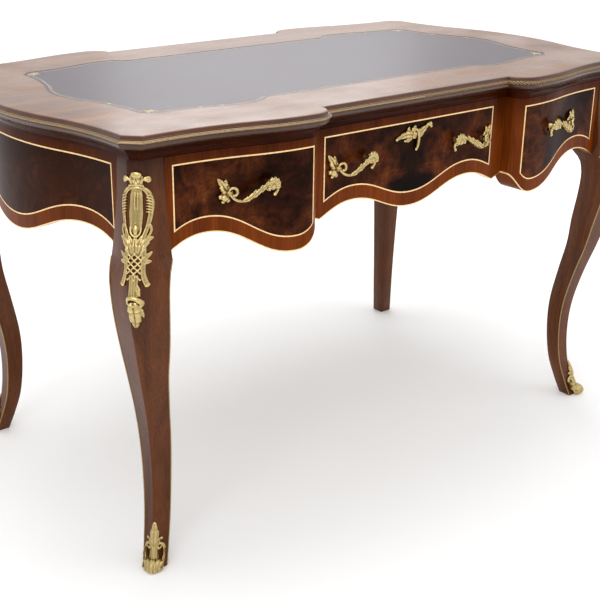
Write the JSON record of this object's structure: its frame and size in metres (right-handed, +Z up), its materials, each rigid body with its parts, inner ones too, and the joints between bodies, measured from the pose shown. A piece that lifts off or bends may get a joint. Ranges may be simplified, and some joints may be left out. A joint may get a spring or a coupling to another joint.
{
  "type": "writing desk",
  "caption": "Serpentine flat-top writing desk on cabriole legs, with a leather writing surface, sliding frieze drawers, gilt pulls, corner mounts and shoes.",
  "frame": {"origin": "on the floor under the middle of the desk", "axes": "+Z up, +X along the desk's width, and the drawers face -Y"},
  "size_m": [1.3182, 0.7994, 0.78],
  "materials": {
    "mahogany": "red-brown french-polished mahogany",
    "burl_veneer": "polished dark burl veneer",
    "leather": "smooth dark leather with a gold-tooled line",
    "gilt": "cast and gilded brass, satin with bright edges",
    "brass_line": "flat polished brass line",
    "oak": "plain waxed oak",
    "iron": "dull steel"
  },
  "bodies": {
    "carcase": {"top_border": "mahogany", "cornice_frame": "mahogany", "leg_front_left": "mahogany", "leg_front_right": "mahogany", "leg_back_left": "mahogany", "leg_back_right": "mahogany", "apron_left": "mahogany", "apron_right": "mahogany", "back_apron": "mahogany", "end_veneer": "burl_veneer", "back_veneer": "burl_veneer", "leather_inset": "leather", "rope_bead": "gilt", "pulls_back": "gilt", "chute_front_left": "gilt", "chute_front_right": "gilt", "chute_back_left": "gilt", "chute_back_right": "gilt", "shoe_front_left": "gilt", "shoe_front_right": "gilt", "shoe_back_left": "gilt", "shoe_back_right": "gilt", "end_stringing": "brass_line", "back_stringing": "brass_line", "writing_board": "oak", "cross_rails": "oak", "front_rail": "oak", "divider_left": "oak", "divider_right": "oak", "middle_runners": "oak", "outer_runners": "oak", "drawer_stops": "oak", "corner_blocks": "oak", "frame_screws": "iron"},
    "drawer_left": {"drawer_left_front": "mahogany", "drawer_left_veneer": "burl_veneer", "drawer_left_stringing": "brass_line", "drawer_left_sides": "oak", "drawer_left_back": "oak", "drawer_left_bottom": "oak", "pull_left": "gilt"},
    "drawer_middle": {"drawer_middle_front": "mahogany", "drawer_middle_veneer": "burl_veneer", "drawer_middle_stringing": "brass_line", "drawer_middle_sides": "oak", "drawer_middle_back": "oak", "drawer_middle_bottom": "oak", "pulls_middle": "gilt", "escutcheon": "gilt", "lock_case": "iron"},
    "drawer_right": {"drawer_right_front": "mahogany", "drawer_right_veneer": "burl_veneer", "drawer_right_stringing": "brass_line", "drawer_right_sides": "oak", "drawer_right_back": "oak", "drawer_right_bottom": "oak", "pull_right": "gilt"},
    "bolt": {"lock_bolt": "iron"}
  },
  "joints": [
    {"name": "drawer_left_slide", "type": "slide", "parent": "carcase", "child": "drawer_left", "axis": [0, -1, 0], "range_m": [0, 0.34]},
    {"name": "drawer_middle_slide", "type": "slide", "parent": "carcase", "child": "drawer_middle", "axis": [0, -1, 0], "range_m": [0, 0.34]},
    {"name": "drawer_right_slide", "type": "slide", "parent": "carcase", "child": "drawer_right", "axis": [0, -1, 0], "range_m": [0, 0.34]},
    {"name": "lock_bolt_slide", "type": "slide", "parent": "drawer_middle", "child": "bolt", "axis": [0, 0, 1], "range_m": [0, 0.008]}
  ]
}
